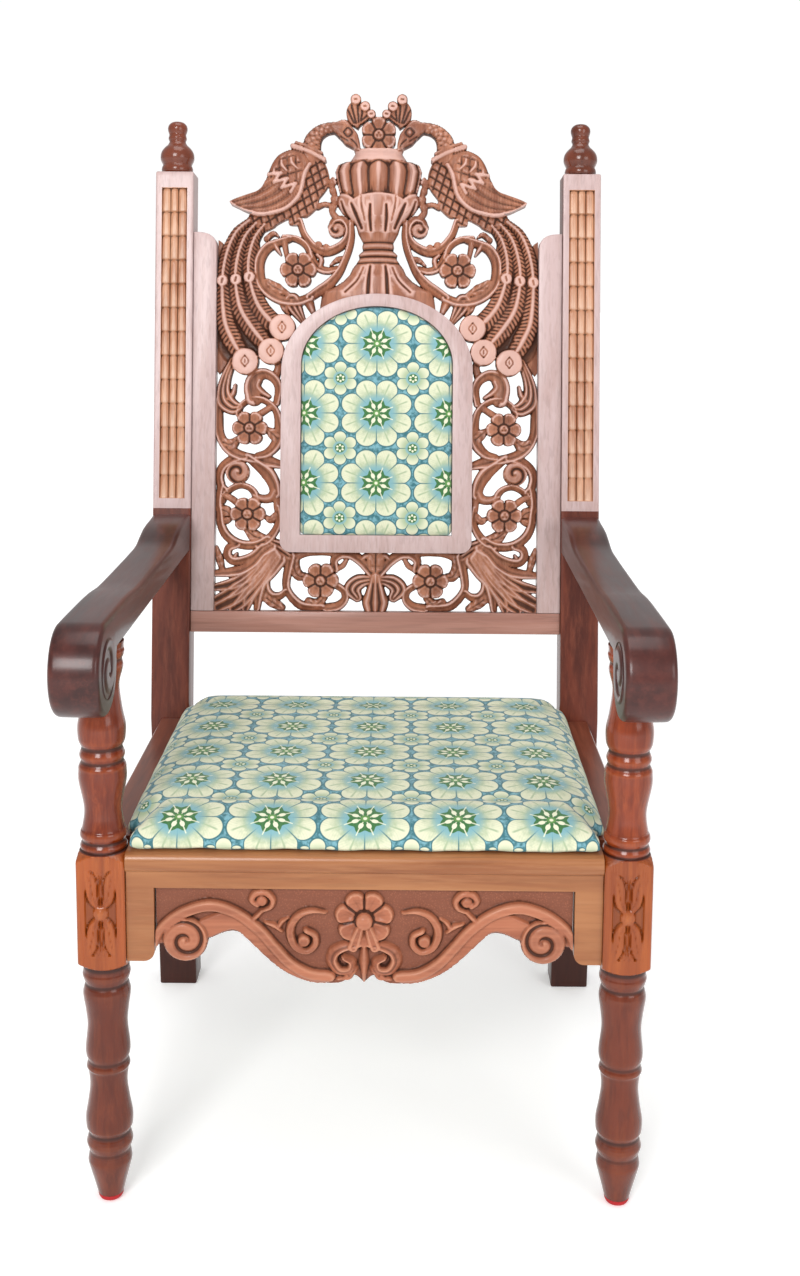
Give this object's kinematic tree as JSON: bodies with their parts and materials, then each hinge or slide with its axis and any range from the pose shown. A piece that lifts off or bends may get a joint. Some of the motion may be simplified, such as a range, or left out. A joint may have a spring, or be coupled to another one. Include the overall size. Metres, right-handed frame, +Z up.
{
  "type": "armchair",
  "caption": "Tall ceremonial wooden armchair with turned front legs, scrolled arms, an openwork carved back with birds and a vase, and an upholstered seat and back panel.",
  "frame": {"origin": "middle of the chair's footprint box, on the floor", "axes": "+Z up, the chair's front towards -Y, +X to the right as seen from the front"},
  "size_m": [0.641, 0.767, 1.3121],
  "materials": {
    "pale_wood": "satin",
    "carved_wood": "satin lacquer",
    "rail_wood": "satin lacquer",
    "turned_wood": "gloss lacquer",
    "arm_wood": "gloss lacquer",
    "fabric": "woven, patterned",
    "felt": "felt"
  },
  "bodies": {
    "root": {"front_leg_left": "turned_wood", "front_leg_right": "turned_wood", "foot_glide_left": "felt", "foot_glide_right": "felt", "rear_post_left": "pale_wood", "rear_post_right": "pale_wood", "finial_left": "turned_wood", "finial_right": "turned_wood", "arm_left": "arm_wood", "arm_right": "arm_wood", "front_rail": "rail_wood", "side_rail_left": "rail_wood", "side_rail_right": "rail_wood", "rear_rail": "rail_wood", "carved_apron": "carved_wood", "back_stile_left": "pale_wood", "back_stile_right": "pale_wood", "back_bottom_rail": "pale_wood", "arch_frame": "pale_wood", "carved_back": "carved_wood", "back_pad": "fabric", "seat_pad": "fabric"}
  },
  "joints": []
}
